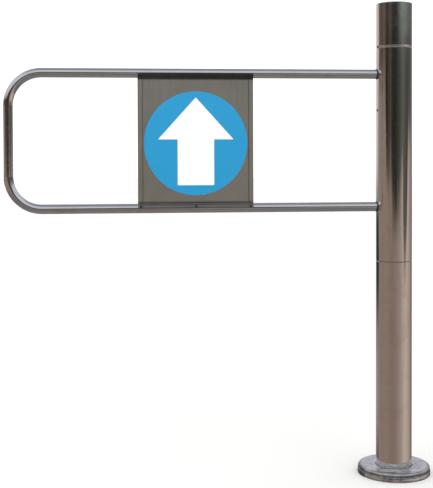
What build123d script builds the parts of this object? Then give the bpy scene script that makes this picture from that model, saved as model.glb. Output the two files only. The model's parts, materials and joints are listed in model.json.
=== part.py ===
from build123d import *
import os
from math import atan2, cos, pi, radians, sin

# Post-mounted one-way swing gate.  Millimetres, +Z up.
# Origin: centre of the floor flange's underside, on the post's axis.
# The closed gate arm points along -X and its sign faces -Y.

# ---- driving dimensions ----
HEIGHT = 1004.0
POST_R = 38.0
POST_WALL = 2.0
BORE_R = POST_R - POST_WALL
TUBE_CHAMFER = 0.4
FIT = 0.05  # radial gap of pressed and welded joints inside one body

FLANGE_R = 70.0
FLANGE_T = 6.0
SPIGOT_IN_R = 30.0
SPIGOT_H = 10.0
ANCHOR_PCD = 110.0
ANCHOR_HOLE_R = 6.0
ANCHOR_COUNT = 4
COVER_R = 77.0
COVER_H = 18.0
COVER_WALL = 1.2

LOWER_POST_TOP = 455.0
SEAM = 1.5
SEAM_RING_H = 1.1
SEAM_RING_R = 37.1
SLEEVE_BOTTOM = LOWER_POST_TOP + SEAM
SLEEVE_TOP = 908.5
CAP_BOTTOM = SLEEVE_TOP + SEAM

SPINDLE_R = 12.5
STUD_R = 10.0
SPINDLE_BOTTOM = LOWER_POST_TOP - 40.0
SHOULDER_R = 17.0
LOWER_BEARING_Z = 462.0
UPPER_BEARING_Z = 886.0
BEARING_W = 15.0
BEARING_R = 26.0
RACE_IN_R = 17.0
RACE_OUT_R = 22.2
BALL_PITCH_R = 19.6
BALL_R = 3.97
BALL_COUNT = 9
GROOVE_R = 4.1
CAGE_HALF_T = 1.4
CAGE_HALF_H = 5.5
POCKET_R = 4.12
RACE_CHAMFER = 0.4
HUB_LIP_R = 22.5
HUB_LIP_H = 7.0

SLOT_IN_R = 26.3
SLOT_OUT_R = 34.5
SLOT_DEPTH = 10.0
LUG_IN_R = 26.8
LUG_OUT_R = 34.0
LUG_HALF_DEG = 12.0
BUFFER_DEG = 7.0
STOP_GAP_DEG = 1.0
CLOSED_DEG = 180.0  # azimuth of the arm and the lug with the gate shut
SWING_DEG = 90.0

SPACER_R = 16.0
ANCHOR_Z = 634.0
ANCHOR_H = 20.0
ANCHOR_R = 27.0
DRIVER_Z = 769.0
DRIVER_H = 16.0
DRIVER_BORE_R = 17.5
SPRING_R = 22.0
WIRE_R = 2.25
SPRING_TURNS = 13
SPRING_Z = 660.0
SPRING_PITCH = 7.85
LEG_LENGTH = 15.0
LEG_HOLE_R = 2.4

RAIL_R = 10.0
RAIL_WALL = 1.5
TOP_RAIL_Z = 854.0
BOTTOM_RAIL_Z = 572.0
LOOP_END_X = -812.0
LOOP_BEND_R = 68.0
RAIL_START_X = -33.5

PANEL_X = -425.0
PANEL_HALF_W = 121.0
SHELL_IN_R = 10.1
SHELL_OUT_R = 11.3
HEM_OUT_R = 12.1
HEM_W = 10.0
WRAP_DEG = 50.0
WRAP_REACH = 13.8  # rail axis to the centre of the concave bend
SCREW_DEG = 20.0
SCREW_HEAD_R = 2.6
SCREW_SHANK_R = 1.5
SCREW_HEAD_H = 1.5
SCREW_INSET = 6.0

DISC_R = 108.5
DISC_Z = 707.5
DISC_T = 0.4
ARROW_T = 0.3

CAP_HOLDER_Z = 950.0
CAP_HOLDER_H = 18.0

os.makedirs("parts", exist_ok=True)


def save(builder, label):
    builder.part.label = label
    export_step(builder.part, f"parts/{label}.step")


def ring(inner_r, outer_r, bottom, top):
    """A plain ring or tube about the post's axis."""
    with BuildPart() as piece:
        with BuildSketch(Plane.XY.offset(bottom)):
            Circle(outer_r)
            Circle(inner_r, mode=Mode.SUBTRACT)
        extrude(amount=top - bottom)
    return piece


def radial_plane(azimuth, z):
    """A plane on the post's axis whose normal points outward at the azimuth."""
    outward = (cos(radians(azimuth)), sin(radians(azimuth)), 0)
    return Plane(origin=(0, 0, z), z_dir=outward)


# ---- fixed body ----
with BuildPart() as floor_plate:
    with BuildSketch():
        Circle(FLANGE_R)
        with PolarLocations(ANCHOR_PCD / 2, ANCHOR_COUNT, start_angle=45):
            Circle(ANCHOR_HOLE_R, mode=Mode.SUBTRACT)
    extrude(amount=FLANGE_T)
    with BuildSketch(Plane.XY.offset(FLANGE_T)):
        Circle(BORE_R - FIT)
        Circle(SPIGOT_IN_R, mode=Mode.SUBTRACT)
    extrude(amount=SPIGOT_H)
    chamfer(floor_plate.edges().group_by(Axis.Z)[-1], 0.8)
save(floor_plate, "floor_plate")

# The dish has a straight side, a shallow groove, a rolled bead and a flat top.
GROOVE_Z = 11.0
GROOVE_DEPTH = 2.0
BEAD_MIDDLE = (COVER_R - 1.2, GROOVE_Z + 3.6)
BEAD_END_R = COVER_R - 4.8
COLLAR_R = POST_R + 0.4
COVER_INNER = (
    (COLLAR_R, COVER_H - COVER_WALL),
    (COVER_R - 5.6, COVER_H - COVER_WALL),
    (COVER_R - 3.3, GROOVE_Z - 0.4),
    (COVER_R - COVER_WALL, GROOVE_Z - 2.4),
    (COVER_R - COVER_WALL, 0),
)
with BuildPart() as base_cover:
    with BuildSketch(Plane.XZ):
        with BuildLine():
            foot = Line(COVER_INNER[-1], (COVER_R, 0))
            wall = Line(foot @ 1, (COVER_R, GROOVE_Z - GROOVE_DEPTH))
            groove_middle = (COVER_R - 0.6, GROOVE_Z - 0.6)
            lip = ThreePointArc(wall @ 1, groove_middle, (COVER_R - GROOVE_DEPTH, GROOVE_Z))
            bead = ThreePointArc(lip @ 1, BEAD_MIDDLE, (BEAD_END_R, COVER_H))
            top = Line(bead @ 1, (COLLAR_R, COVER_H))
            Polyline(top @ 1, *COVER_INNER)
        make_face()
    revolve(axis=Axis.Z)
save(base_cover, "base_cover")

with BuildPart() as lower_post:
    with BuildSketch(Plane.XY.offset(FLANGE_T)):
        Circle(POST_R)
        Circle(BORE_R, mode=Mode.SUBTRACT)
    extrude(amount=LOWER_POST_TOP - FLANGE_T)
    chamfer(lower_post.edges().group_by(Axis.Z)[-1].sort_by(SortBy.LENGTH)[-1], TUBE_CHAMFER)
save(lower_post, "lower_post")

PIN_Z = 428.0
PIN_R = 4.0
SLOT_HALF = LUG_HALF_DEG + STOP_GAP_DEG + BUFFER_DEG
SLOT_START = CLOSED_DEG - SWING_DEG - SLOT_HALF
SLOT_SWEEP = SWING_DEG + 2 * SLOT_HALF
with BuildPart() as post_plug:
    with BuildSketch(Plane.XY.offset(SPINDLE_BOTTOM)):
        Circle(BORE_R - FIT)
        Circle(SPINDLE_R + FIT, mode=Mode.SUBTRACT)
    extrude(amount=LOWER_POST_TOP - SPINDLE_BOTTOM)
    # arc slot for the stop lug
    with BuildSketch(Plane.XY.offset(LOWER_POST_TOP - SLOT_DEPTH)):
        with BuildLine():
            outer = CenterArc((0, 0), SLOT_OUT_R, SLOT_START, SLOT_SWEEP)
            inner = CenterArc((0, 0), SLOT_IN_R, SLOT_START, SLOT_SWEEP)
            Line(outer @ 0, inner @ 0)
            Line(outer @ 1, inner @ 1)
        make_face()
    extrude(amount=SLOT_DEPTH, mode=Mode.SUBTRACT)
    # cross hole for the spindle pin
    with BuildSketch(Plane.XZ.offset(-BORE_R)):
        with Locations((0, PIN_Z)):
            Circle(PIN_R + FIT)
    extrude(amount=2 * BORE_R, mode=Mode.SUBTRACT)
save(post_plug, "post_plug")

ANCHOR_PIN_Z = ANCHOR_Z + ANCHOR_H / 2
ANCHOR_PIN_R = 3.0
STUD_TOP = 980.0
THREAD_CHAMFER = 1.2
with BuildPart() as spindle:
    with BuildSketch(Plane.XY.offset(SPINDLE_BOTTOM)):
        Circle(SPINDLE_R)
    extrude(amount=CAP_HOLDER_Z - SPINDLE_BOTTOM)
    with BuildSketch(Plane.XY.offset(LOWER_POST_TOP)):
        Circle(SHOULDER_R)
    extrude(amount=LOWER_BEARING_Z - LOWER_POST_TOP)
    with BuildSketch(Plane.XY.offset(CAP_HOLDER_Z)):
        Circle(STUD_R)
    extrude(amount=STUD_TOP - CAP_HOLDER_Z)
    chamfer(spindle.edges().group_by(Axis.Z)[-1], THREAD_CHAMFER)
    for z, r in ((PIN_Z, PIN_R), (ANCHOR_PIN_Z, ANCHOR_PIN_R)):
        with BuildSketch(Plane.XZ.offset(-POST_R)):
            with Locations((0, z)):
                Circle(r + FIT)
        extrude(amount=2 * POST_R, mode=Mode.SUBTRACT)
save(spindle, "spindle")


def cross_pin(radius, length, z):
    with BuildPart() as pin:
        with BuildSketch(Plane.XZ.offset(-length / 2)):
            with Locations((0, z)):
                Circle(radius)
        extrude(amount=length)
        chamfer(pin.edges(), 0.6)
    return pin


save(cross_pin(PIN_R, 70.0, PIN_Z), "spindle_pin")
save(cross_pin(ANCHOR_PIN_R, 50.0, ANCHOR_PIN_Z), "anchor_pin")


def arc_block(inner_r, outer_r, start_deg, sweep_deg, bottom, height):
    """A block bounded by two arcs about the post's axis."""
    with BuildPart() as block:
        with BuildSketch(Plane.XY.offset(bottom)):
            with BuildLine():
                outer = CenterArc((0, 0), outer_r, start_deg, sweep_deg)
                inner = CenterArc((0, 0), inner_r, start_deg, sweep_deg)
                Line(outer @ 0, inner @ 0)
                Line(outer @ 1, inner @ 1)
            make_face()
        extrude(amount=height)
    return block


# one rubber block at each end of the slot
BUFFER_BOTTOM = LOWER_POST_TOP - SLOT_DEPTH
BUFFER_H = SLOT_DEPTH - 0.5
BUFFER_IN_R = SLOT_IN_R + 0.3
BUFFER_OUT_R = SLOT_OUT_R - 0.3
SHUT_BUFFER_START = SLOT_START + SLOT_SWEEP - BUFFER_DEG
with BuildPart() as stop_buffers:
    for start in (SLOT_START, SHUT_BUFFER_START):
        add(arc_block(BUFFER_IN_R, BUFFER_OUT_R, start, BUFFER_DEG, BUFFER_BOTTOM, BUFFER_H).part)
save(stop_buffers, "stop_buffers")

SEAM_RING_IN_R = BORE_R - 2
save(ring(SEAM_RING_IN_R, SEAM_RING_R, LOWER_POST_TOP, LOWER_POST_TOP + SEAM_RING_H), "lower_seam_ring")
save(ring(SEAM_RING_IN_R, SEAM_RING_R, CAP_BOTTOM - SEAM_RING_H, CAP_BOTTOM), "upper_seam_ring")


# ---- ball bearings ----
def race(inner_r, outer_r, bottom):
    """A bearing ring with a round groove for the balls."""
    middle = bottom + BEARING_W / 2
    with BuildPart() as piece:
        with BuildSketch(Plane.XZ):
            with Locations(((inner_r + outer_r) / 2, middle)):
                Rectangle(outer_r - inner_r, BEARING_W)
            with Locations((BALL_PITCH_R, middle)):
                Circle(GROOVE_R, mode=Mode.SUBTRACT)
        revolve(axis=Axis.Z)
        rims = piece.edges().group_by(Axis.Z)
        chamfer(rims[0] + rims[-1], RACE_CHAMFER)
    return piece


def ball_places(bottom):
    return [
        (
            BALL_PITCH_R * cos(2 * pi * i / BALL_COUNT),
            BALL_PITCH_R * sin(2 * pi * i / BALL_COUNT),
            bottom + BEARING_W / 2,
        )
        for i in range(BALL_COUNT)
    ]


def ball_cage(bottom):
    """A ring with a drilled pocket for each ball."""
    with BuildPart() as cage:
        with BuildSketch(Plane.XY.offset(bottom + BEARING_W / 2 - CAGE_HALF_H)):
            Circle(BALL_PITCH_R + CAGE_HALF_T)
            Circle(BALL_PITCH_R - CAGE_HALF_T, mode=Mode.SUBTRACT)
        extrude(amount=2 * CAGE_HALF_H)
        for i in range(BALL_COUNT):
            with BuildSketch(radial_plane(360 * i / BALL_COUNT, bottom + BEARING_W / 2)):
                Circle(POCKET_R)
            extrude(amount=BEARING_R, mode=Mode.SUBTRACT)
    return cage


def ball_set(bottom):
    with BuildPart() as balls:
        with Locations(*ball_places(bottom)):
            Sphere(BALL_R)
    return balls


for where, bottom in (("lower", LOWER_BEARING_Z), ("upper", UPPER_BEARING_Z)):
    save(race(SPINDLE_R + FIT, RACE_IN_R, bottom), f"{where}_bearing_inner")
    save(race(RACE_OUT_R, BEARING_R - FIT, bottom), f"{where}_bearing_outer")
    save(ball_cage(bottom), f"{where}_bearing_cage")
    save(ball_set(bottom), f"{where}_bearing_balls")

# ---- clamped stack on the spindle ----
save(ring(SPINDLE_R + FIT, SPACER_R, LOWER_BEARING_Z + BEARING_W, ANCHOR_Z), "lower_spacer")
save(ring(SPINDLE_R + FIT, SPACER_R, ANCHOR_Z + ANCHOR_H, UPPER_BEARING_Z), "upper_spacer")

# The spring's straight legs leave its ends on their tangents, each through a drilled dog.
spring_top = SPRING_Z + SPRING_TURNS * SPRING_PITCH
lead = atan2(SPRING_PITCH, 2 * pi * SPRING_R)
DOG_W = 8.4
DOG_L = 8.0
DOG_Y = 10.0  # from the coil's end to the middle of the dog
DOG_COVER = 4.1  # how far a dog reaches past the leg's centre
DOG_GAP = 1.0


def dog(y_sign, low, high):
    """A block beside the spring that a leg passes through."""
    with BuildPart() as block:
        with BuildSketch(Plane.XY.offset(low)):
            with Locations((SPRING_R, y_sign * DOG_Y)):
                Rectangle(DOG_W, DOG_L)
        extrude(amount=high - low)
    return block


def leg_plane(z, y_sign):
    """A plane on an end of the coil, looking along its straight leg."""
    return Plane(origin=(SPRING_R, 0, z), z_dir=(0, y_sign * cos(lead), y_sign * sin(lead)))


with BuildPart() as spring_anchor:
    with BuildSketch(Plane.XY.offset(ANCHOR_Z)):
        Circle(ANCHOR_R)
        Circle(SPINDLE_R + FIT, mode=Mode.SUBTRACT)
    extrude(amount=ANCHOR_H)
    add(dog(-1, ANCHOR_Z + ANCHOR_H, SPRING_Z + DOG_COVER - DOG_GAP).part)
    with BuildSketch(leg_plane(SPRING_Z, -1)):
        Circle(LEG_HOLE_R)
    extrude(amount=2 * DOG_Y, mode=Mode.SUBTRACT)
    with BuildSketch(Plane.XZ.offset(-POST_R)):
        with Locations((0, ANCHOR_PIN_Z)):
            Circle(ANCHOR_PIN_R + FIT)
    extrude(amount=2 * POST_R, mode=Mode.SUBTRACT)
save(spring_anchor, "spring_anchor")

with BuildPart() as torsion_spring:
    with BuildLine() as wire:
        coil = Helix(SPRING_PITCH, SPRING_TURNS * SPRING_PITCH, SPRING_R, center=(0, 0, SPRING_Z))
        Line(coil @ 0, coil @ 0 - (coil % 0) * LEG_LENGTH)
        Line(coil @ 1, coil @ 1 + (coil % 1) * LEG_LENGTH)
    with BuildSketch(Plane(origin=wire.wires()[0] @ 0, z_dir=wire.wires()[0] % 0)):
        Circle(WIRE_R)
    sweep(path=wire.wires()[0], is_frenet=True)
save(torsion_spring, "torsion_spring")

stack_top = UPPER_BEARING_Z + BEARING_W
WASHER_R = 18.0
WASHER_T = 1.5
NUT_R = 19.0
NUT_T = 8.5
NUT_NOTCH = (4.0, 5.0)
save(ring(SPINDLE_R + FIT, WASHER_R, stack_top, stack_top + WASHER_T), "lock_washer")
with BuildPart() as lock_nut:
    with BuildSketch(Plane.XY.offset(stack_top + WASHER_T)):
        Circle(NUT_R)
        Circle(SPINDLE_R + FIT, mode=Mode.SUBTRACT)
        with PolarLocations(NUT_R, 4):
            Rectangle(*NUT_NOTCH, mode=Mode.SUBTRACT)
    extrude(amount=NUT_T)
save(lock_nut, "lock_nut")

# ---- top cap ----
GRUB_R = 2.5
GRUB_Z = CAP_HOLDER_Z + CAP_HOLDER_H / 2
GRUB_DEG = (50.0, 130.0)
GRUB_BOTTOM = 29.0
GRUB_TOP = POST_R - 0.6
GRUB_KEY = 1.25
GRUB_KEY_DEPTH = 2.0
CAP_NUT_KEY = 15.0
CAP_NUT_T = 10.0
CAP_ROOF = 2.5
CAP_FILLET = 1.6
CAP_BEVEL = (1.0, 3.5)  # radial and upright size of the bevel at the seam
with BuildPart() as cap_holder:
    with BuildSketch(Plane.XY.offset(CAP_HOLDER_Z)):
        Circle(BORE_R - FIT)
        Circle(STUD_R + FIT, mode=Mode.SUBTRACT)
    extrude(amount=CAP_HOLDER_H)
    for azimuth in GRUB_DEG:
        with BuildSketch(radial_plane(azimuth, GRUB_Z).offset(GRUB_BOTTOM)):
            Circle(GRUB_R + FIT)
        extrude(amount=POST_R - GRUB_BOTTOM, mode=Mode.SUBTRACT)
save(cap_holder, "cap_holder")

with BuildPart() as cap_nut:
    with BuildSketch(Plane.XY.offset(CAP_HOLDER_Z + CAP_HOLDER_H)):
        RegularPolygon(CAP_NUT_KEY, 6, major_radius=False)
        Circle(STUD_R + FIT, mode=Mode.SUBTRACT)
    extrude(amount=CAP_NUT_T)
save(cap_nut, "cap_nut")

with BuildPart() as top_cap:
    with BuildSketch(Plane.XZ):
        with BuildLine():
            foot = Line((BORE_R, CAP_BOTTOM), (POST_R - CAP_BEVEL[0], CAP_BOTTOM))
            bevel = Line(foot @ 1, (POST_R, CAP_BOTTOM + CAP_BEVEL[1]))
            side = Line(bevel @ 1, (POST_R, HEIGHT))
            crown = Line(side @ 1, (0, HEIGHT))
            axis = Line(crown @ 1, (0, HEIGHT - CAP_ROOF))
            roof = Line(axis @ 1, (BORE_R, HEIGHT - CAP_ROOF))
            Line(roof @ 1, foot @ 0)
        make_face()
    revolve(axis=Axis.Z)
    fillet(top_cap.edges().group_by(Axis.Z)[-1], CAP_FILLET)
    for azimuth in GRUB_DEG:
        with BuildSketch(radial_plane(azimuth, GRUB_Z).offset(GRUB_BOTTOM)):
            Circle(GRUB_R + FIT)
        extrude(amount=POST_R + 1 - GRUB_BOTTOM, mode=Mode.SUBTRACT)
save(top_cap, "top_cap")

with BuildPart() as cap_grub_screws:
    for azimuth in GRUB_DEG:
        with BuildSketch(radial_plane(azimuth, GRUB_Z).offset(GRUB_BOTTOM)):
            Circle(GRUB_R)
        extrude(amount=GRUB_TOP - GRUB_BOTTOM)
        with BuildSketch(radial_plane(azimuth, GRUB_Z).offset(GRUB_TOP)):
            RegularPolygon(GRUB_KEY, 6, major_radius=False)
        extrude(amount=-GRUB_KEY_DEPTH, mode=Mode.SUBTRACT)
save(cap_grub_screws, "cap_grub_screws")

# ---- swinging body ----
SCREW_AZIMUTH = 188.0
DRIVER_SCREW_R = 3.0
driver_screw_z = DRIVER_Z + DRIVER_H / 2
RAIL_HOLE_R = RAIL_R + FIT

with BuildPart() as sleeve:
    with BuildSketch(Plane.XY.offset(SLEEVE_BOTTOM)):
        Circle(POST_R)
        Circle(BORE_R, mode=Mode.SUBTRACT)
    extrude(amount=SLEEVE_TOP - SLEEVE_BOTTOM)
    ends = sleeve.edges().group_by(Axis.Z)
    chamfer(ends[0].sort_by(SortBy.LENGTH)[-1], TUBE_CHAMFER)
    chamfer(sleeve.edges().group_by(Axis.Z)[-1].sort_by(SortBy.LENGTH)[-1], TUBE_CHAMFER)
    for z in (TOP_RAIL_Z, BOTTOM_RAIL_Z):
        with BuildSketch(Plane.YZ):
            with Locations((0, z)):
                Circle(RAIL_HOLE_R)
        extrude(amount=-POST_R - 1, mode=Mode.SUBTRACT)
    with BuildSketch(radial_plane(SCREW_AZIMUTH, driver_screw_z)):
        Circle(DRIVER_SCREW_R + FIT)
    extrude(amount=POST_R + 1, mode=Mode.SUBTRACT)
save(sleeve, "sleeve")

CIRCLIP_R = 27.1
CIRCLIP_IN_R = 24.2
CIRCLIP_T = 1.4
CLIP_GROOVE_GAP = 0.1
CLIP_GAP_DEG = 40.0
lower_clip_z = LOWER_BEARING_Z - 1.9
upper_clip_z = UPPER_BEARING_Z + BEARING_W + 0.5
hub_bottom = LOWER_POST_TOP + 3
LUG_SCREW_R = 1.5
LUG_SCREW_DEG = 6.0
LUG_SCREW_HEAD_R = 2.5
LUG_SCREW_HEAD_H = 2.6
LUG_SCREW_DEPTH = 9.0
lug_screw_places = [
    (
        (LUG_IN_R + LUG_OUT_R) / 2 * cos(radians(CLOSED_DEG + turn)),
        (LUG_IN_R + LUG_OUT_R) / 2 * sin(radians(CLOSED_DEG + turn)),
    )
    for turn in (-LUG_SCREW_DEG, LUG_SCREW_DEG)
]

with BuildPart() as lower_hub:
    with BuildSketch(Plane.XY.offset(hub_bottom)):
        Circle(BORE_R - FIT)
        Circle(BEARING_R, mode=Mode.SUBTRACT)
    extrude(amount=LOWER_BEARING_Z + BEARING_W - hub_bottom)
    with BuildSketch(Plane.XY.offset(LOWER_BEARING_Z + BEARING_W)):
        Circle(BORE_R - FIT)
        Circle(HUB_LIP_R, mode=Mode.SUBTRACT)
    extrude(amount=HUB_LIP_H)
    with BuildSketch(Plane.XY.offset(lower_clip_z - CLIP_GROOVE_GAP)):
        Circle(CIRCLIP_R + CLIP_GROOVE_GAP)
        Circle(CIRCLIP_IN_R, mode=Mode.SUBTRACT)
    extrude(amount=CIRCLIP_T + 2 * CLIP_GROOVE_GAP, mode=Mode.SUBTRACT)
    with BuildSketch(Plane.XY.offset(hub_bottom)):
        with Locations(*lug_screw_places):
            Circle(LUG_SCREW_R + FIT)
    extrude(amount=LUG_SCREW_DEPTH, mode=Mode.SUBTRACT)
save(lower_hub, "lower_hub")

upper_hub_top = UPPER_BEARING_Z + BEARING_W + 4
with BuildPart() as upper_hub:
    with BuildSketch(Plane.XY.offset(UPPER_BEARING_Z - HUB_LIP_H)):
        Circle(BORE_R - FIT)
        Circle(HUB_LIP_R, mode=Mode.SUBTRACT)
    extrude(amount=HUB_LIP_H)
    with BuildSketch(Plane.XY.offset(UPPER_BEARING_Z)):
        Circle(BORE_R - FIT)
        Circle(BEARING_R, mode=Mode.SUBTRACT)
    extrude(amount=upper_hub_top - UPPER_BEARING_Z)
    with BuildSketch(Plane.XY.offset(upper_clip_z - CLIP_GROOVE_GAP)):
        Circle(CIRCLIP_R + CLIP_GROOVE_GAP)
        Circle(CIRCLIP_IN_R, mode=Mode.SUBTRACT)
    extrude(amount=CIRCLIP_T + 2 * CLIP_GROOVE_GAP, mode=Mode.SUBTRACT)
save(upper_hub, "upper_hub")

for where, z in (("lower", lower_clip_z), ("upper", upper_clip_z)):
    clip = arc_block(CIRCLIP_IN_R, CIRCLIP_R, CLIP_GAP_DEG / 2, 360 - CLIP_GAP_DEG, z, CIRCLIP_T)
    save(clip, f"{where}_circlip")

lug_bottom = LOWER_POST_TOP - SLOT_DEPTH + 1
lug_height = hub_bottom - lug_bottom
lug_head_z = lug_bottom + 0.2
with BuildPart() as stop_lug:
    lug_start = CLOSED_DEG - LUG_HALF_DEG
    add(arc_block(LUG_IN_R, LUG_OUT_R, lug_start, 2 * LUG_HALF_DEG, lug_bottom, lug_height).part)
    with BuildSketch(Plane.XY.offset(lug_bottom)):
        with Locations(*lug_screw_places):
            Circle(LUG_SCREW_R + FIT)
    extrude(amount=lug_height, mode=Mode.SUBTRACT)
    with BuildSketch(Plane.XY.offset(lug_bottom)):
        with Locations(*lug_screw_places):
            Circle(LUG_SCREW_HEAD_R + FIT)
    extrude(amount=lug_head_z + LUG_SCREW_HEAD_H - lug_bottom, mode=Mode.SUBTRACT)
save(stop_lug, "stop_lug")

with BuildPart() as stop_lug_screws:
    with BuildSketch(Plane.XY.offset(lug_head_z)):
        with Locations(*lug_screw_places):
            Circle(LUG_SCREW_HEAD_R)
    extrude(amount=LUG_SCREW_HEAD_H)
    with BuildSketch(Plane.XY.offset(lug_head_z)):
        with Locations(*lug_screw_places):
            Circle(LUG_SCREW_R)
    extrude(amount=hub_bottom + LUG_SCREW_DEPTH - 1 - lug_head_z)
save(stop_lug_screws, "stop_lug_screws")

DRIVER_SCREW_DEPTH = 9.0
DRIVER_SCREW_TIP_R = BORE_R - DRIVER_SCREW_DEPTH + 0.5
DRIVER_SCREW_TOP_R = POST_R + 0.5
DRIVER_SCREW_KEY = 1.5
DRIVER_KEY_DEPTH = 2.4
with BuildPart() as spring_driver:
    with BuildSketch(Plane.XY.offset(DRIVER_Z)):
        Circle(BORE_R - FIT)
        Circle(DRIVER_BORE_R, mode=Mode.SUBTRACT)
    extrude(amount=DRIVER_H)
    add(dog(1, spring_top - DOG_COVER + DOG_GAP, DRIVER_Z).part)
    with BuildSketch(leg_plane(spring_top, 1)):
        Circle(LEG_HOLE_R)
    extrude(amount=2 * DOG_Y, mode=Mode.SUBTRACT)
    with BuildSketch(radial_plane(SCREW_AZIMUTH, driver_screw_z).offset(BORE_R - DRIVER_SCREW_DEPTH)):
        Circle(DRIVER_SCREW_R + FIT)
    extrude(amount=POST_R, mode=Mode.SUBTRACT)
save(spring_driver, "spring_driver")

# A domed cup-point screw, nearly flush with the sleeve.
with BuildPart() as driver_screw:
    screw_plane = radial_plane(SCREW_AZIMUTH, driver_screw_z)
    with BuildSketch(screw_plane.offset(DRIVER_SCREW_TIP_R)):
        Circle(DRIVER_SCREW_R)
    extrude(amount=DRIVER_SCREW_TOP_R - DRIVER_SCREW_TIP_R)
    crown = driver_screw.faces().sort_by(Axis.X)[0]
    fillet(crown.edges(), 0.5)
    with BuildSketch(screw_plane.offset(DRIVER_SCREW_TOP_R)):
        RegularPolygon(DRIVER_SCREW_KEY, 6, major_radius=False)
    extrude(amount=-DRIVER_KEY_DEPTH, mode=Mode.SUBTRACT)
save(driver_screw, "driver_screw")

# ---- loop arm ----
WELD_R = 13.0
WELD_TOE_R = 10.5
WELD_START_X = -44.5
WELD_LENGTH = 20.0
WELD_CUT_OVER = 30.0


def screw_axis(x, rail_z, side, deg):
    """A plane on the rail's axis whose normal points out through the panel's edge."""
    toward_middle = -1 if rail_z == TOP_RAIL_Z else 1
    outward = (0, side * cos(radians(deg)), toward_middle * sin(radians(deg)))
    return Plane(origin=(x, 0, rail_z), z_dir=outward)


screw_seats = [
    (PANEL_X + offset, rail_z, side, HEM_OUT_R if offset else SHELL_OUT_R)
    for rail_z in (TOP_RAIL_Z, BOTTOM_RAIL_Z)
    for side in (-1, 1)
    for offset in (-PANEL_HALF_W + SCREW_INSET, 0, PANEL_HALF_W - SCREW_INSET)
]

with BuildPart() as gate_loop:
    with BuildLine() as centreline:
        FilletPolyline(
            (RAIL_START_X, 0, TOP_RAIL_Z),
            (LOOP_END_X, 0, TOP_RAIL_Z),
            (LOOP_END_X, 0, BOTTOM_RAIL_Z),
            (RAIL_START_X, 0, BOTTOM_RAIL_Z),
            radius=LOOP_BEND_R,
        )
    with BuildSketch(Plane(origin=(RAIL_START_X, 0, TOP_RAIL_Z), z_dir=(-1, 0, 0))):
        Circle(RAIL_R)
        Circle(RAIL_R - RAIL_WALL, mode=Mode.SUBTRACT)
    sweep(path=centreline.wires()[0])
    for x, rail_z, side, seat_r in screw_seats:
        with BuildSketch(screw_axis(x, rail_z, side, SCREW_DEG)):
            Circle(SCREW_SHANK_R + FIT)
        extrude(amount=RAIL_R + 1, mode=Mode.SUBTRACT)
save(gate_loop, "gate_loop")

with BuildPart() as weld_collars:
    for z in (TOP_RAIL_Z, BOTTOM_RAIL_Z):
        with BuildSketch(Plane(origin=(WELD_START_X, 0, z), z_dir=(1, 0, 0))):
            Circle(WELD_TOE_R)
        with BuildSketch(Plane(origin=(-POST_R + 2, 0, z), z_dir=(1, 0, 0))):
            Circle(WELD_R)
        loft()
        with BuildSketch(Plane(origin=(WELD_START_X, 0, z), z_dir=(1, 0, 0))):
            Circle(RAIL_R + FIT)
        extrude(amount=WELD_LENGTH, mode=Mode.SUBTRACT)
    with BuildSketch(Plane.XY.offset(BOTTOM_RAIL_Z - WELD_CUT_OVER)):
        Circle(POST_R + FIT)
    extrude(amount=TOP_RAIL_Z - BOTTOM_RAIL_Z + 2 * WELD_CUT_OVER, mode=Mode.SUBTRACT)
save(weld_collars, "weld_collars")


# ---- sign panel ----
def shell_section(x, inner_r, outer_r):
    """The front half-shell's section at x, which hugs the inner quarter of each rail."""
    bend_y = -WRAP_REACH * cos(radians(WRAP_DEG))
    bend_dz = WRAP_REACH * sin(radians(WRAP_DEG))
    with BuildSketch(Plane.YZ.offset(x)) as section:
        with BuildLine():
            for r in (inner_r, outer_r):
                CenterArc((0, TOP_RAIL_Z), r, 180, WRAP_DEG)
                bend_r = WRAP_REACH - r
                top_bend = CenterArc((bend_y, TOP_RAIL_Z - bend_dz), bend_r, WRAP_DEG, -WRAP_DEG)
                bottom_bend = CenterArc((bend_y, BOTTOM_RAIL_Z + bend_dz), bend_r, 0, -WRAP_DEG)
                CenterArc((0, BOTTOM_RAIL_Z), r, 180 - WRAP_DEG, WRAP_DEG)
                Line(top_bend @ 1, bottom_bend @ 0)
            Line((-inner_r, TOP_RAIL_Z), (-outer_r, TOP_RAIL_Z))
            Line((-inner_r, BOTTOM_RAIL_Z), (-outer_r, BOTTOM_RAIL_Z))
        make_face()
    return section.sketch


left_x = PANEL_X - PANEL_HALF_W
right_x = PANEL_X + PANEL_HALF_W
sheet_section = shell_section(left_x + HEM_W, SHELL_IN_R, SHELL_OUT_R)
left_hem_section = shell_section(left_x, SHELL_IN_R, HEM_OUT_R)
right_hem_section = shell_section(right_x - HEM_W, SHELL_IN_R, HEM_OUT_R)
sheet_inner_y = WRAP_REACH * (1 - cos(radians(WRAP_DEG))) - SHELL_IN_R
face_y = sheet_inner_y - (SHELL_OUT_R - SHELL_IN_R)
RETURN_T = 1.2
RETURN_GAP = 0.05
return_z_span = TOP_RAIL_Z - BOTTOM_RAIL_Z - 2 * WRAP_REACH
return_depth = -face_y - RETURN_GAP
middle_z = (TOP_RAIL_Z + BOTTOM_RAIL_Z) / 2

with BuildPart() as front_panel:
    extrude(sheet_section.face(), amount=2 * (PANEL_HALF_W - HEM_W))
    extrude(left_hem_section.face(), amount=HEM_W)
    extrude(right_hem_section.face(), amount=HEM_W)
    # side returns reach back to the middle plane
    for edge_x in (left_x + RETURN_T / 2, right_x - RETURN_T / 2):
        with Locations((edge_x, face_y + return_depth / 2, middle_z)):
            Box(RETURN_T, return_depth, return_z_span)
    for x, rail_z, side, seat_r in screw_seats:
        if side < 0:
            with BuildSketch(screw_axis(x, rail_z, side, SCREW_DEG)):
                Circle(SCREW_SHANK_R + FIT)
            extrude(amount=HEM_OUT_R + 1, mode=Mode.SUBTRACT)
save(front_panel, "front_panel")

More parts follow.
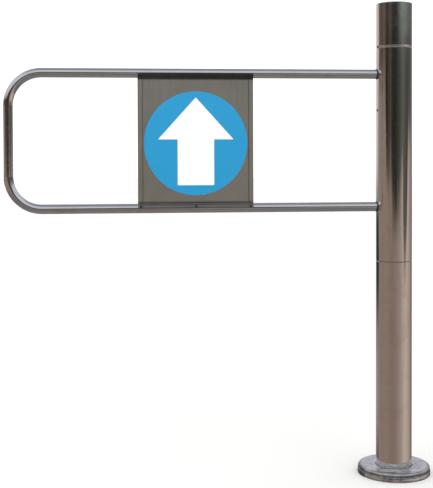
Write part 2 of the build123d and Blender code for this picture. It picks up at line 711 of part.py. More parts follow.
with BuildPart() as back_panel:
    mirror(front_panel.part, about=Plane.XZ)
save(back_panel, "back_panel")

SCREW_TIP_R = 6.0
SCREW_STANDOFF = 0.2
SCREW_TAPER = 25.0
with BuildPart() as panel_screws:
    for x, rail_z, side, seat_r in screw_seats:
        seat = screw_axis(x, rail_z, side, SCREW_DEG)
        with BuildSketch(seat.offset(SCREW_TIP_R)):
            Circle(SCREW_SHANK_R)
        extrude(amount=seat_r + SCREW_STANDOFF - SCREW_TIP_R)
        with BuildSketch(seat.offset(seat_r + SCREW_STANDOFF)):
            Circle(SCREW_HEAD_R)
        extrude(amount=SCREW_HEAD_H, taper=SCREW_TAPER)
save(panel_screws, "panel_screws")

with BuildPart() as sign_disc:
    with BuildSketch(Plane.XZ.offset(-face_y)):
        with Locations((PANEL_X, DISC_Z)):
            Circle(DISC_R)
    extrude(amount=DISC_T)
save(sign_disc, "sign_disc")

# Arrow points upward; heights are counted from the disc's centre.
ARROW_TIP = 95.5
ARROW_BARB = 8.7
ARROW_FOOT = -87.0
ARROW_HEAD_HALF = 78.5
ARROW_SHAFT_HALF = 38.0
with BuildPart() as sign_arrow:
    with BuildSketch(Plane.XZ.offset(-face_y + DISC_T)):
        with Locations((PANEL_X, DISC_Z)):
            Polygon(
                (0, ARROW_TIP),
                (-ARROW_HEAD_HALF, ARROW_BARB),
                (-ARROW_SHAFT_HALF, ARROW_BARB),
                (-ARROW_SHAFT_HALF, ARROW_FOOT),
                (ARROW_SHAFT_HALF, ARROW_FOOT),
                (ARROW_SHAFT_HALF, ARROW_BARB),
                (ARROW_HEAD_HALF, ARROW_BARB),
                align=None,
            )
    extrude(amount=ARROW_T)
save(sign_arrow, "sign_arrow")
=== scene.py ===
import json
from math import cos, pi, radians, sin

import bmesh
import bpy
from mathutils import Matrix, Vector


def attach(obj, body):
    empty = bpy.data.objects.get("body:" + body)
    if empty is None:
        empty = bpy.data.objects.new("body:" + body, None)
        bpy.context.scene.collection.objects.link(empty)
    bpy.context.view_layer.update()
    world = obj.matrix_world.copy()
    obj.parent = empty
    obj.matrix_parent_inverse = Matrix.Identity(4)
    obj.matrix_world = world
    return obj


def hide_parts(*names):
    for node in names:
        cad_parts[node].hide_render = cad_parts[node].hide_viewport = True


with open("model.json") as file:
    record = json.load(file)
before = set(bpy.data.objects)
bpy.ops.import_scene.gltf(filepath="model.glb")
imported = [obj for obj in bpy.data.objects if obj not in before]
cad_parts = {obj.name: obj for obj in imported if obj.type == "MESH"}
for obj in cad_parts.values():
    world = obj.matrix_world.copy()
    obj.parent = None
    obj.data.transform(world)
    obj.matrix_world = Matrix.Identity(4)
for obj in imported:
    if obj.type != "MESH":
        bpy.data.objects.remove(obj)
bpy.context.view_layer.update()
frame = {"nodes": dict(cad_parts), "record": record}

nodes = frame["nodes"]
scene = bpy.context.scene
MM = 0.001

# sizes of the detailed pieces, in millimetres, as in the model except where it says so
POST_R = 38.0
COVER_R = 77.0
# the rails' axes, and half way between them
TOP_Z, BOTTOM_Z = 854.0, 572.0
MIDDLE_Z = (TOP_Z + BOTTOM_Z) / 2
RAIL_R = 10.0
PANEL_X, PANEL_HALF_W = -425.0, 121.0
# the panel's sheet round a rail: its inside (10.1 in the model), its outside, its outside where a
# hem doubles it, and the hem's width
SHELL_IN_R, SHELL_OUT_R, HEM_OUT_R, HEM_W = 10.15, 11.3, 12.1, 10.0
# the sheet leaves a rail at this angle and bends back round a line this far from the rail's axis
WRAP_ANGLE, WRAP_REACH = radians(50), 13.8
SCREW_ANGLE, SCREW_INSET = radians(20), 6.0
DISC_R, DISC_Z = 108.5, 707.5


# ---------------------------------------------------------------- shader helpers
class Graph:
    """A node tree with short calls for the nodes that the materials share."""

    def __init__(self, tree):
        self.tree = tree
        tree.nodes.clear()

    def node(self, kind, **settings):
        made = self.tree.nodes.new(kind)
        for key, value in settings.items():
            setattr(made, key, value)
        return made

    def link(self, source, target):
        self.tree.links.new(source, target)

    def feed(self, target, value):
        """Links a socket, or sets a plain value."""
        if isinstance(value, bpy.types.NodeSocket):
            self.link(value, target)
        elif value is not None:
            target.default_value = value

    def coords(self, scale=(1, 1, 1)):
        """Object coordinates in metres, scaled."""
        source = self.node("ShaderNodeTexCoord").outputs["Object"]
        mapping = self.node("ShaderNodeMapping")
        self.link(source, mapping.inputs["Vector"])
        mapping.inputs["Scale"].default_value = scale
        return mapping.outputs["Vector"]

    def noise(self, vector, scale, detail=4.0, rough=0.5, distortion=0.0):
        made = self.node("ShaderNodeTexNoise")
        self.link(vector, made.inputs["Vector"])
        made.inputs["Scale"].default_value = scale
        made.inputs["Detail"].default_value = detail
        made.inputs["Roughness"].default_value = rough
        made.inputs["Distortion"].default_value = distortion
        return made.outputs["Fac"]

    def math(self, operation, a, b=None):
        made = self.node("ShaderNodeMath", operation=operation)
        self.feed(made.inputs[0], a)
        self.feed(made.inputs[1], b)
        return made.outputs[0]

    def remap(self, value, low, high, to_low=0.0, to_high=1.0, smooth=False):
        made = self.node("ShaderNodeMapRange")
        made.interpolation_type = "SMOOTHSTEP" if smooth else "LINEAR"
        self.feed(made.inputs["Value"], value)
        made.inputs["From Min"].default_value = low
        made.inputs["From Max"].default_value = high
        made.inputs["To Min"].default_value = to_low
        made.inputs["To Max"].default_value = to_high
        return made.outputs["Result"]

    def ramp(self, value, stops):
        made = self.node("ShaderNodeValToRGB")
        made.color_ramp.interpolation = "LINEAR"
        elements = made.color_ramp.elements
        while len(elements) > 1:
            elements.remove(elements[-1])
        for i, (place, colour) in enumerate(stops):
            element = elements[0] if i == 0 else elements.new(place)
            element.position = place
            element.color = (*colour, 1.0)
        self.link(value, made.inputs["Fac"])
        return made.outputs["Color"]

    def mix(self, factor, a, b):
        made = self.node("ShaderNodeMix", data_type="RGBA")
        self.feed(made.inputs["Factor"], factor)
        for socket, value in ((made.inputs["A"], a), (made.inputs["B"], b)):
            self.feed(socket, (*value, 1.0) if isinstance(value, tuple) else value)
        return made.outputs["Result"]

    def split(self, vector):
        made = self.node("ShaderNodeSeparateXYZ")
        self.link(vector, made.inputs[0])
        return made.outputs

    def bump(self, height, strength, distance, normal=None):
        made = self.node("ShaderNodeBump")
        self.link(height, made.inputs["Height"])
        made.inputs["Strength"].default_value = strength
        made.inputs["Distance"].default_value = distance
        self.feed(made.inputs["Normal"], normal)
        return made.outputs["Normal"]


def srgb(red, green, blue):
    """Display colour, 0 to 255, as scene-linear."""
    def linear(c):
        c /= 255
        return c / 12.92 if c <= 0.04045 else ((c + 0.055) / 1.055) ** 2.4
    return tuple(linear(c) for c in (red, green, blue))


def material(name):
    """A new material with its graph, its Principled shader and the shader's inputs."""
    made = bpy.data.materials.new(name)
    made.use_nodes = True
    graph = Graph(made.node_tree)
    shader = graph.node("ShaderNodeBsdfPrincipled")
    output = graph.node("ShaderNodeOutputMaterial")
    graph.link(shader.outputs["BSDF"], output.inputs["Surface"])
    return made, graph, shader.inputs


# ---------------------------------------------------------------- materials
def polished_steel(name, tint, roughness, grain=(1, 1, 1), film=(0.80, 0.74, 0.68), wave=0.25):
    """Polished stainless steel: faint drawing lines along the grain, a handled film, slight waviness."""
    made, g, shader = material(name)
    along = g.coords(grain)
    plain = g.coords()
    lines = g.noise(along, 260.0, 3.0, 0.6)
    smudge = g.noise(plain, 16.0, 5.0, 0.62, 0.6)
    spots = g.noise(plain, 90.0, 2.0, 0.5)
    handled = g.remap(smudge, 0.48, 0.72, smooth=True)
    colour = g.mix(g.math("MULTIPLY", handled, 0.45), tint, tuple(t * f for t, f in zip(tint, film)))
    colour = g.mix(g.remap(lines, 0.35, 0.70, 0.0, 0.22), colour, tuple(t * 0.72 for t in tint))
    shader["Metallic"].default_value = 1.0
    g.link(colour, shader["Base Color"])
    rough = g.math("ADD", g.remap(lines, 0.3, 0.7, roughness * 0.75, roughness * 1.30),
                   g.math("MULTIPLY", handled, roughness * 0.55))
    g.link(g.math("ADD", rough, g.remap(spots, 0.60, 0.78, 0.0, 0.06)), shader["Roughness"])
    waviness = g.noise(g.coords(tuple(0.5 + 0.5 * k for k in grain)), 9.0, 2.0, 0.4)
    low = g.bump(waviness, wave, 0.0035)
    g.link(g.bump(lines, 0.10, 0.0002, low), shader["Normal"])
    return made


def spun_cover(name):
    """The base cover: buffed, wavy and grubbier than the post, with painted shade on its top and dark
    painted shade in its groove, rims, round the post and on one flank.
    """
    # the side's tint, and the top's tint, darker as painted shade that dims the top's reflection
    buffed, shaded_top_tint = (0.90, 0.93, 0.96), (0.70, 0.67, 0.67)
    # stains, then the dark colour of the painted shade in the groove, rims, round the post and on the flank
    stained, painted_shade_tint = (0.30, 0.28, 0.285), (0.05, 0.047, 0.046)
    # where each mark fades in or out, in metres: heights, then distances from the axis, then an x
    shoulder, groove_in, groove_out = (0.0150, 0.0168), (0.0084, 0.0094), (0.0122, 0.0112)
    rim_in, rim_out, foot_out = (0.0700, 0.0715), (0.0738, 0.0726), (0.0412, 0.0392)
    flank_in = (-0.0690, -0.0735)
    made, g, shader = material(name)
    place = g.coords()
    x, y, z = g.split(place)
    radius = g.math("SQRT", g.math("ADD", g.math("MULTIPLY", x, x), g.math("MULTIPLY", y, y)))
    cloud = g.noise(place, 34.0, 4.0, 0.6, 1.2)
    specks = g.noise(place, 140.0, 3.0, 0.6)
    top = g.remap(z, *shoulder)
    # the top, above its shoulder, takes the darker tint as painted shade
    colour = g.mix(top, buffed, shaded_top_tint)
    colour = g.mix(g.remap(cloud, 0.42, 0.64, 0.0, 0.55, smooth=True), colour, stained)
    # painted shade: dark bands in the groove, at the rim beside the bead, round the post's foot and on the
    # left flank
    groove = g.math("MULTIPLY", g.remap(z, *groove_in), g.remap(z, *groove_out, 0.0, 0.9))
    rim = g.math("MULTIPLY", g.remap(radius, *rim_in), g.remap(radius, *rim_out))
    rim = g.math("MULTIPLY", g.math("MULTIPLY", rim, top), 0.55)
    foot = g.math("MULTIPLY", g.remap(radius, *foot_out, 0.0, 0.75), top)
    ragged = g.math("ADD", x, g.remap(cloud, 0.3, 0.7, -0.002, 0.002))
    flank = g.remap(ragged, *flank_in, 0.0, 0.9, smooth=True)
    shade_mask = g.math("MAXIMUM", g.math("MAXIMUM", groove, rim), g.math("MAXIMUM", foot, flank))
    colour = g.mix(g.math("MULTIPLY", shade_mask, g.remap(specks, 0.3, 0.7, 1.0, 0.75)), colour, painted_shade_tint)
    shader["Metallic"].default_value = 1.0
    g.link(colour, shader["Base Color"])
    g.link(g.math("ADD", g.remap(specks, 0.4, 0.75, 0.09, 0.19), g.math("MULTIPLY", shade_mask, 0.25)),
           shader["Roughness"])
    low = g.bump(g.noise(place, 30.0, 3.0, 0.5, 0.8), 0.55, 0.0022)
    g.link(g.bump(specks, 0.12, 0.0002, low), shader["Normal"])
    return made


def satin_sheet(name):
    """Brushed sheet: fine vertical grain, smudges, and dark painted shade in the folds and along the hems.
    """
    bright, brushed = (0.65, 0.645, 0.58), (0.51, 0.505, 0.45)
    # the sheet's grain tones and random smudges, then the dark colour of the painted shade
    smudged, painted_fold_shade = (0.46, 0.43, 0.385), (0.035, 0.032, 0.030)
    # where the painted shade fades in: millimetres from a rail's axis, then metres to either side of a hem's
    # line
    top_fold, bottom_fold = (15.5, 11.5), (16.5, 11.5)
    hem_inward, hem_outward = 0.0016, (0.0014, 0.0002)
    made, g, shader = material(name)
    place = g.coords()
    grain = g.noise(g.coords((1, 1, 0.02)), 900.0, 3.0, 0.6)
    cloud = g.noise(place, 11.0, 5.0, 0.6, 0.8)
    colour = g.mix(g.remap(grain, 0.35, 0.68, 0.0, 0.35), bright, brushed)
    colour = g.mix(g.remap(cloud, 0.45, 0.75, 0.0, 0.30), colour, smudged)
    x, _, z = g.split(place)
    # painted shade in the folds beside the rails, deeper under the top rail than over the bottom one
    top = g.remap(z, *((TOP_Z - d) * MM for d in top_fold), 0.0, 0.86, smooth=True)
    bottom = g.remap(z, *((BOTTOM_Z + d) * MM for d in bottom_fold), 0.0, 0.70, smooth=True)
    # and a painted shade line along each hem's step
    across = g.math("ABSOLUTE", g.math("SUBTRACT", x, PANEL_X * MM))
    line = (PANEL_HALF_W - HEM_W) * MM
    hem = g.math("MULTIPLY", g.remap(across, line - hem_inward, line, smooth=True),
                 g.remap(across, *(line + d for d in hem_outward), 0.0, 0.55, smooth=True))
    shade_mask = g.math("MAXIMUM", g.math("MAXIMUM", top, bottom), hem)
    colour = g.mix(g.math("MULTIPLY", shade_mask, g.remap(cloud, 0.3, 0.7, 1.06, 0.9)), colour, painted_fold_shade)
    shader["Metallic"].default_value = 1.0
    g.link(colour, shader["Base Color"])
    g.link(g.math("ADD", g.remap(grain, 0.3, 0.7, 0.30, 0.40), g.remap(cloud, 0.4, 0.7, 0.0, 0.08)),
           shader["Roughness"])
    low = g.bump(g.noise(place, 7.0, 2.0, 0.4), 0.15, 0.003)
    g.link(g.bump(grain, 0.18, 0.0002, low), shader["Normal"])
    return made


def worked_steel(name, tint, roughness, stain=(0.55, 0.50, 0.44), scale=300.0):
    """Turned, plated or ground steel: machining lines round the axis and light staining."""
    made, g, shader = material(name)
    lines = g.noise(g.coords((0.05, 0.05, 1)), scale, 2.0, 0.5)
    blotch = g.noise(g.coords(), 45.0, 4.0, 0.6, 0.4)
    colour = g.mix(g.remap(blotch, 0.45, 0.75, 0.0, 0.5), tint, tuple(t * s for t, s in zip(tint, stain)))
    colour = g.mix(g.remap(lines, 0.4, 0.7, 0.0, 0.25), colour, tuple(t * 0.6 for t in tint))
    shader["Metallic"].default_value = 1.0
    g.link(colour, shader["Base Color"])
    g.link(g.math("ADD", g.remap(lines, 0.3, 0.7, roughness * 0.8, roughness * 1.2),
                  g.remap(blotch, 0.4, 0.7, 0.0, 0.12)), shader["Roughness"])
    g.link(g.bump(lines, 0.25, 0.0002), shader["Normal"])
    return made


def moulded(name, tint, roughness, speck=0.25, scale=400.0):
    """Nylon or rubber: fine pitted skin with dust in it."""
    dusty = (0.42, 0.40, 0.36)
    made, g, shader = material(name)
    pits = g.noise(g.coords(), scale, 3.0, 0.6)
    dust = g.noise(g.coords(), 60.0, 4.0, 0.6)
    colour = g.mix(g.remap(dust, 0.45, 0.75, 0.0, speck), tint, dusty)
    g.link(colour, shader["Base Color"])
    g.link(g.remap(pits, 0.3, 0.7, roughness * 0.85, roughness * 1.1), shader["Roughness"])
    g.link(g.bump(pits, 0.3, 0.0002), shader["Normal"])
    return made


def vinyl(name, tint, scuff):
    """Printed sign film: faint print mottling, scuffs, and a soft orange-peel gloss."""
    made, g, shader = material(name)
    mottle = g.noise(g.coords(), 55.0, 4.0, 0.6)
    scratch = g.noise(g.coords((1, 1, 0.15)), 240.0, 3.0, 0.7, 0.5)
    colour = g.mix(g.remap(mottle, 0.40, 0.70, 0.0, 0.10), tint, tuple(c * 0.86 for c in tint))
    colour = g.mix(g.remap(scratch, 0.66, 0.80, 0.0, scuff), colour, tuple(0.5 * c + 0.35 for c in tint))
    g.link(colour, shader["Base Color"])
    g.link(g.remap(scratch, 0.35, 0.75, 0.34, 0.50), shader["Roughness"])
    shader["Specular IOR Level"].default_value = 0.3
    g.link(g.bump(mottle, 0.06, 0.0004), shader["Normal"])
    return made


STEEL = (0.78, 0.76, 0.745)
finishes = {
    "polished_post": polished_steel("polished_post", STEEL, 0.078, (1, 1, 0.03)),
    "polished_cap": polished_steel("polished_cap", STEEL, 0.085, (1, 1, 0.03)),
    "polished_cover": spun_cover("polished_cover"),
    "polished_rail": polished_steel("polished_rail", (0.80, 0.79, 0.79), 0.11, (0.03, 1, 1), wave=0.12),
    "weld": worked_steel("weld", (0.17, 0.15, 0.15), 0.34, scale=500.0),
    "satin_panel": satin_sheet("satin_panel"),
    "screw_steel": worked_steel("screw_steel", (0.13, 0.12, 0.11), 0.36),
    "sign_blue": vinyl("sign_blue", srgb(30, 148, 200), 0.18),
    "sign_white": vinyl("sign_white", (0.88, 0.90, 0.91), 0.10),
    "nylon": moulded("nylon", (0.13, 0.12, 0.11), 0.5, 0.12),
    "rubber": moulded("rubber", (0.02, 0.02, 0.02), 0.75),
    "machined_steel": worked_steel("machined_steel", (0.48, 0.48, 0.49), 0.26),
    "zinc_steel": worked_steel("zinc_steel", (0.60, 0.60, 0.57), 0.30),
    "bearing_steel": worked_steel("bearing_steel", (0.66, 0.66, 0.67), 0.12, scale=600.0),
    "cage_steel": worked_steel("cage_steel", (0.55, 0.52, 0.46), 0.30),
    "spring_steel": worked_steel("spring_steel", (0.16, 0.16, 0.17), 0.35),
    "flange_steel": worked_steel("flange_steel", (0.45, 0.44, 0.42), 0.45, scale=150.0),
}
for part in frame["record"]["subparts"]:
    shown = nodes[part["node"]]
    for slot in shown.material_slots:
        slot.material = finishes[part["material_slot"]]


# ---------------------------------------------------------------- detailed pieces
MERGE_M = 1e-7


def mesh_piece(name, verts, faces, slot, body, *stands_for, sharp=35):
    """A mesh in millimetres that rides on a body and stands for CAD nodes."""
    mesh = bpy.data.meshes.new(name)
    mesh.from_pydata([Vector(v) * MM for v in verts], [], faces)
    shape = bmesh.new()
    shape.from_mesh(mesh)
    bmesh.ops.remove_doubles(shape, verts=shape.verts, dist=MERGE_M)
    bmesh.ops.recalc_face_normals(shape, faces=shape.faces)
    shape.to_mesh(mesh)
    shape.free()
    mesh.shade_smooth()
    mesh.set_sharp_from_angle(angle=radians(sharp))
    mesh.materials.append(finishes[slot])
    made = bpy.data.objects.new(name, mesh)
    scene.collection.objects.link(made)
    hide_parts(*stands_for)
    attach(made, body)
    return made


def sheet_of(rows, closed_rows=False, closed_columns=False):
    """Vertices and quads of a grid given as equal rows of points."""
    width = len(rows[0])
    verts = [point for row in rows for point in row]
    faces = []
    for i in range(len(rows) if closed_columns else len(rows) - 1):
        for j in range(width if closed_rows else width - 1):
            k, m = (i + 1) % len(rows), (j + 1) % width
            faces.append((i * width + j, i * width + m, k * width + m, k * width + j))
    return verts, faces


def joined(*parts):
    """Several (vertices, faces) as one."""
    verts, faces = [], []
    for more_verts, more_faces in parts:
        start = len(verts)
        verts += more_verts
        faces += [tuple(i + start for i in face) for face in more_faces]
    return verts, faces


def soft_box(low, high, edge):
    """A box whose four upright edges are cut back."""
    (x0, y0, z0), (x1, y1, z1) = low, high
    ring = [
        (x0 + edge, y0), (x1 - edge, y0), (x1, y0 + edge), (x1, y1 - edge),
        (x1 - edge, y1), (x0 + edge, y1), (x0, y1 - edge), (x0, y0 + edge),
    ]
    verts, faces = sheet_of([[(x, y, z) for x, y in ring] for z in (z0, z1)], closed_rows=True)
    count = len(ring)
    return verts, faces + [tuple(reversed(range(count))), tuple(range(count, 2 * count))]


def shell_line(r):
    """The sign panel's section at distance r from the rails' axes, from the top rail to the bottom one."""
    steps, face_steps = 9, 40
    turn = [WRAP_ANGLE * i / steps for i in range(steps + 1)]
    upper = [(-r * cos(a), -r * sin(a)) for a in turn]
    bend_r = WRAP_REACH - r
    middle = (-WRAP_REACH * cos(WRAP_ANGLE), -WRAP_REACH * sin(WRAP_ANGLE))
    upper += [(middle[0] + bend_r * cos(a), middle[1] + bend_r * sin(a)) for a in turn[-2::-1]]
    face_y, top = upper[-1][0], TOP_Z + upper[-1][1]
    bottom = BOTTOM_Z - upper[-1][1]
    face = [(face_y, top + (bottom - top) * i / face_steps) for i in range(1, face_steps)]
    return [(y, TOP_Z + z) for y, z in upper] + face + [(y, BOTTOM_Z - z) for y, z in reversed(upper)]


def face_dent(x, z):
    """Shallow waves and two knocks in the sheet's face, which only go inward."""
    flat_x, flat_z = 108, 122
    # each knock's place on the face, its spread squared, and its depth
    knocks = ((-97, 88, 160, 0.25), (84, -112, 110, 0.22))
    bell = 2.718
    along, up = x - PANEL_X, z - MIDDLE_Z
    rim = max(0.0, 1 - (abs(along) / flat_x) ** 4) * max(0.0, 1 - (abs(up) / flat_z) ** 4)
    wave = 0.10 * (1 + sin(along / 33 + 0.7) * sin(up / 41 - 0.4))
    wave += 0.05 * (1 + sin(along / 17 + up / 23))
    return rim * wave + sum(d * bell ** (-((along - u) ** 2 + (up - v) ** 2) / w) for u, v, w, d in knocks)


def panel_half(name, side):
    """One folded half of the sign panel: wrapped edges, rounded hems at both ends and side returns."""
    # columns from an end inward, close together at the end's rounded lip and at the hem's step
    inset = [0, 0.08, 0.25, 0.5, 1, 3, 5, 7, 8.8, 9.3, 9.6, 9.85, 10.05, 10.4, 12, 16]
    middle_steps, lip, step_from, step_to = 34, 0.5, 9.6, 10.05
    # the dents stay inside the hems and clear of the folds
    dent_inset, dent_reach = 10, 130
    return_t, return_y, return_gap = 1.2, (-6.3, -0.05), 13.8
    width = 2 * PANEL_HALF_W
    span = width - 2 * inset[-1]
    offsets = inset + [inset[-1] + span * i / middle_steps for i in range(1, middle_steps)]
    offsets += [width - d for d in reversed(inset)]
    outer, inner = [], []
    for offset in offsets:
        x = PANEL_X - PANEL_HALF_W + offset
        d = min(offset, width - offset)
        r = SHELL_OUT_R
        if d < step_from:
            r = HEM_OUT_R - lip * (1 - min(1, d / lip)) ** 2
        elif d < step_to:
            fallen = (1 - cos(pi * (d - step_from) / (step_to - step_from))) / 2
            r = HEM_OUT_R - (HEM_OUT_R - SHELL_OUT_R) * fallen
        row = []
        for y, z in shell_line(r):
            dented = d > dent_inset and abs(z - MIDDLE_Z) < dent_reach
            row.append((x, -side * (y + face_dent(x, z) * dented), z))
        outer.append(row)
        inner.append([(x, -side * y, z) for y, z in shell_line(SHELL_IN_R)])
    skin = sheet_of(outer)
    lining = sheet_of(inner)
    rims = [sheet_of([outer[i], inner[i]]) for i in (0, -1)]
    lips = [sheet_of([[row[j] for row in outer], [row[j] for row in inner]]) for j in (0, -1)]
    returns = []
    for x0 in (PANEL_X - PANEL_HALF_W, PANEL_X + PANEL_HALF_W - return_t):
        low_y, high_y = sorted(-side * y for y in return_y)
        low, high = (x0, low_y, BOTTOM_Z + return_gap), (x0 + return_t, high_y, TOP_Z - return_gap)
        returns.append(soft_box(low, high, 0.3))
    mesh_piece(name, *joined(skin, lining, *rims, *lips, *returns), "satin_panel", "gate", name)


def frame_at(x, rail_z, side):
    """Origin and axes of a panel screw: along the rail, across its head, and out along its shank."""
    inward = -1 if rail_z == TOP_Z else 1
    out = Vector((0, side * cos(SCREW_ANGLE), inward * sin(SCREW_ANGLE)))
    along = Vector((1, 0, 0))
    return Vector((x, 0, rail_z)), along, out.cross(along), out


def screw_head(x, rail_z, side, seat, turn):
    """A pan head with a cross recess, and a plain shank."""
    around, recess_half_w, recess_reach, recess_depth, recess_above = 32, 0.34, 1.45, 0.75, 1.2
    origin, along, across, out = frame_at(x, rail_z, side)
    u, v = along * cos(turn) + across * sin(turn), across * cos(turn) - along * sin(turn)
    profile = [(0, 1.5), (0.35, 1.5), (0.7, 1.49), (1.0, 1.46), (1.3, 1.4), (1.65, 1.28), (2.0, 1.08),
               (2.3, 0.8), (2.52, 0.45), (2.6, 0.1), (2.55, 0.0), (1.5, 0.0), (1.5, -4.5), (0, -4.5)]
    rows = []
    for r, h in profile:
        row = []
        for k in range(around):
            a = 2 * pi * k / around
            p, q = r * cos(a), r * sin(a)
            narrow, wide = sorted((abs(p), abs(q)))
            arm = narrow < recess_half_w and wide < recess_reach and h > recess_above
            row.append(origin + u * p + v * q + out * (seat + h - (recess_depth if arm else 0.0)))
        rows.append(row)
    return sheet_of(rows, closed_rows=True)


def panel_screw_set():
    """Twelve screws: three on each rail at the front and at the back, each turned differently."""
    proud = 0.1
    heads = []
    for rail_z in (TOP_Z, BOTTOM_Z):
        for side in (-1, 1):
            for k, offset in enumerate((-PANEL_HALF_W + SCREW_INSET, 0, PANEL_HALF_W - SCREW_INSET)):
                seat = (HEM_OUT_R if offset else SHELL_OUT_R) + proud
                turn = 0.4 + 0.9 * k + rail_z + side
                heads.append(screw_head(PANEL_X + offset, rail_z, side, seat, turn))
    mesh_piece("panel_screws", *joined(*heads), "screw_steel", "gate", "panel_screws", sharp=50)


def weld_beads():
    """A rippled bead round each rail where it meets the sleeve."""
    around, fit, throat, reach, ripple_h = 180, 0.02, 1.2, 3.2, 0.16
    # how far out from its chord the bead swells, from the sleeve (0) to the rail (1)
    section = ((0, 0.0), (0.15, 0.45), (0.35, 0.75), (0.55, 0.75), (0.75, 0.5), (0.9, 0.22), (1, 0))
    beads = []
    for rail_z in (TOP_Z, BOTTOM_Z):
        rows = []
        for i in range(around):
            a = 2 * pi * i / around
            ripple = ripple_h * abs(sin(19 * a + 0.6 * sin(3 * a)))
            size = 1 + 0.10 * sin(2 * a + rail_z) + 0.05 * sin(5 * a)
            row = []
            for t, swell in section:
                r = RAIL_R + fit + (1 - t) ** 1.5 * throat * size + swell * (0.16 + 0.7 * ripple)
                y, z = r * sin(a), r * cos(a)
                root = -(POST_R ** 2 - y * y) ** 0.5
                row.append((root - fit - t * reach * size - 0.1 * ripple * swell, y, rail_z + z))
            rows.append(row)
        beads.append(sheet_of(rows, closed_columns=True))
    mesh_piece("weld_collars", *joined(*beads), "weld", "gate", "weld_collars", sharp=60)


def cover_dish():
    """The base cover: spun sheet with a straight side, a groove, a rolled bead and a slightly slack top."""
    around, bead_r, bead_in, bead_z = 192, 3.6, 4.6, 14.4
    # the top sags most half way across, and the slack dies away towards its inner and outer edge
    top_z, sag, sag_r, sag_half_w = 18, 0.35, 55, 17.4
    slack_in_r, slack_out_r, slack_fade, underside_z = 39, 72, 8, 16.75
    outline = [(COVER_R - 1.2, 0), (COVER_R - 0.3, 0), (COVER_R, 0.3), (COVER_R, 4), (COVER_R, 8.4)]
    outline += [(COVER_R - 0.35, 9.2), (COVER_R - 1.1, 10.0), (COVER_R - 2.0, 10.7), (COVER_R - 2.15, 11.2)]
    for turn in range(-40, 91, 10):
        a = radians(turn)
        outline.append((COVER_R - bead_in + bead_r * cos(a), bead_z + bead_r * sin(a)))
    for r in (72.0, 70, 66, 60, 55, 50, 46, 42):
        outline.append((r, top_z - sag * (1 - abs(r - sag_r) / sag_half_w)))
    # the collar round the post, then the inside
    outline += [(40.5, 17.75), (39.3, 17.9), (38.7, 17.8), (38.45, 17.4), (38.45, 16.8)]
    outline += [(40, 16.6), (71.4, 16.7), (73.6, 15), (73.4, 11), (COVER_R - 1.2, 8.4)]
    rows = []
    for i in range(around):
        a = 2 * pi * i / around
        slack = 0.10 * sin(3 * a + 0.5) + 0.07 * sin(7 * a + 1.9)
        row = []
        for r, z in outline:
            share = max(0.0, min(1.0, (r - slack_in_r) / slack_fade, (slack_out_r - r) / slack_fade))
            droop = slack * share if z > underside_z else 0.0
            row.append((r * cos(a), r * sin(a), z - abs(droop)))
        rows.append(row)
    mesh_piece("base_cover", *sheet_of(rows, closed_rows=True, closed_columns=True),
               "polished_cover", "post", "base_cover", sharp=60)


def film(name, outline, front_y, thickness, ease, slot):
    """A sign film cut to a clockwise outline. Its front edge goes inward for ease 1, outward for -1."""

    def ring(offset, y):
        made = []
        for k, (x, z) in enumerate(outline):
            (ax, az), (bx, bz) = outline[k - 1], outline[(k + 1) % len(outline)]
            tx, tz = bx - ax, bz - az
            length = (tx * tx + tz * tz) ** 0.5
            made.append((x + ease * offset * tz / length, y, z - ease * offset * tx / length))
        return made

    # from the back to the front: how far the edge has moved, and the share of the thickness left
    edge = ((0, 1), (0, 0.6), (0.08, 0.2), (0.3, 0))
    rings = [ring(offset, front_y + share * thickness) for offset, share in edge]
    verts, faces = sheet_of(rings, closed_rows=True)
    count = len(outline)
    faces += [tuple(range(count)), tuple(range(3 * count, 4 * count))]
    mesh_piece(name, verts, faces, slot, "gate", name, sharp=30)


def rounded(points, radius, steps=5):
    """A closed outline with its corners rounded."""
    made = []
    for k, corner in enumerate(points):
        here = Vector(corner)
        before, after = Vector(points[k - 1]), Vector(points[(k + 1) % len(points)])
        start = here + (before - here).normalized() * radius
        end = here + (after - here).normalized() * radius
        for i in range(steps + 1):
            t = i / steps
            made.append(tuple(start * (1 - t) ** 2 + here * 2 * t * (1 - t) + end * t * t))
    return made


def sign_films():
    """The blue disc on the panel's face, and the white arrow on the disc."""
    around, disc_t, arrow_t, corner_r = 160, 0.4, 0.3, 1.6
    half_w, shaft_half_w, tip_z, barb_z, tail_z = 78.5, 38, 95.5, 8.7, -87
    face_y = -WRAP_REACH * cos(WRAP_ANGLE) + WRAP_REACH - SHELL_OUT_R
    turn = [2 * pi * i / around for i in range(around)]
    circle = [(PANEL_X + DISC_R * cos(a), DISC_Z - DISC_R * sin(a)) for a in turn]
    film("sign_disc", circle, face_y - disc_t, disc_t, 1, "sign_blue")
    arrow = [(0, tip_z), (half_w, barb_z), (shaft_half_w, barb_z), (shaft_half_w, tail_z)]
    arrow += [(-x, z) for x, z in reversed(arrow[1:])]
    arrow = rounded([(PANEL_X + x, DISC_Z + z) for x, z in arrow], corner_r)
    film("sign_arrow", arrow, face_y - disc_t - arrow_t, arrow_t, -1, "sign_white")


for half, side in (("front_panel", -1), ("back_panel", 1)):
    panel_half(half, side)
panel_screw_set()
weld_beads()
cover_dish()
sign_films()


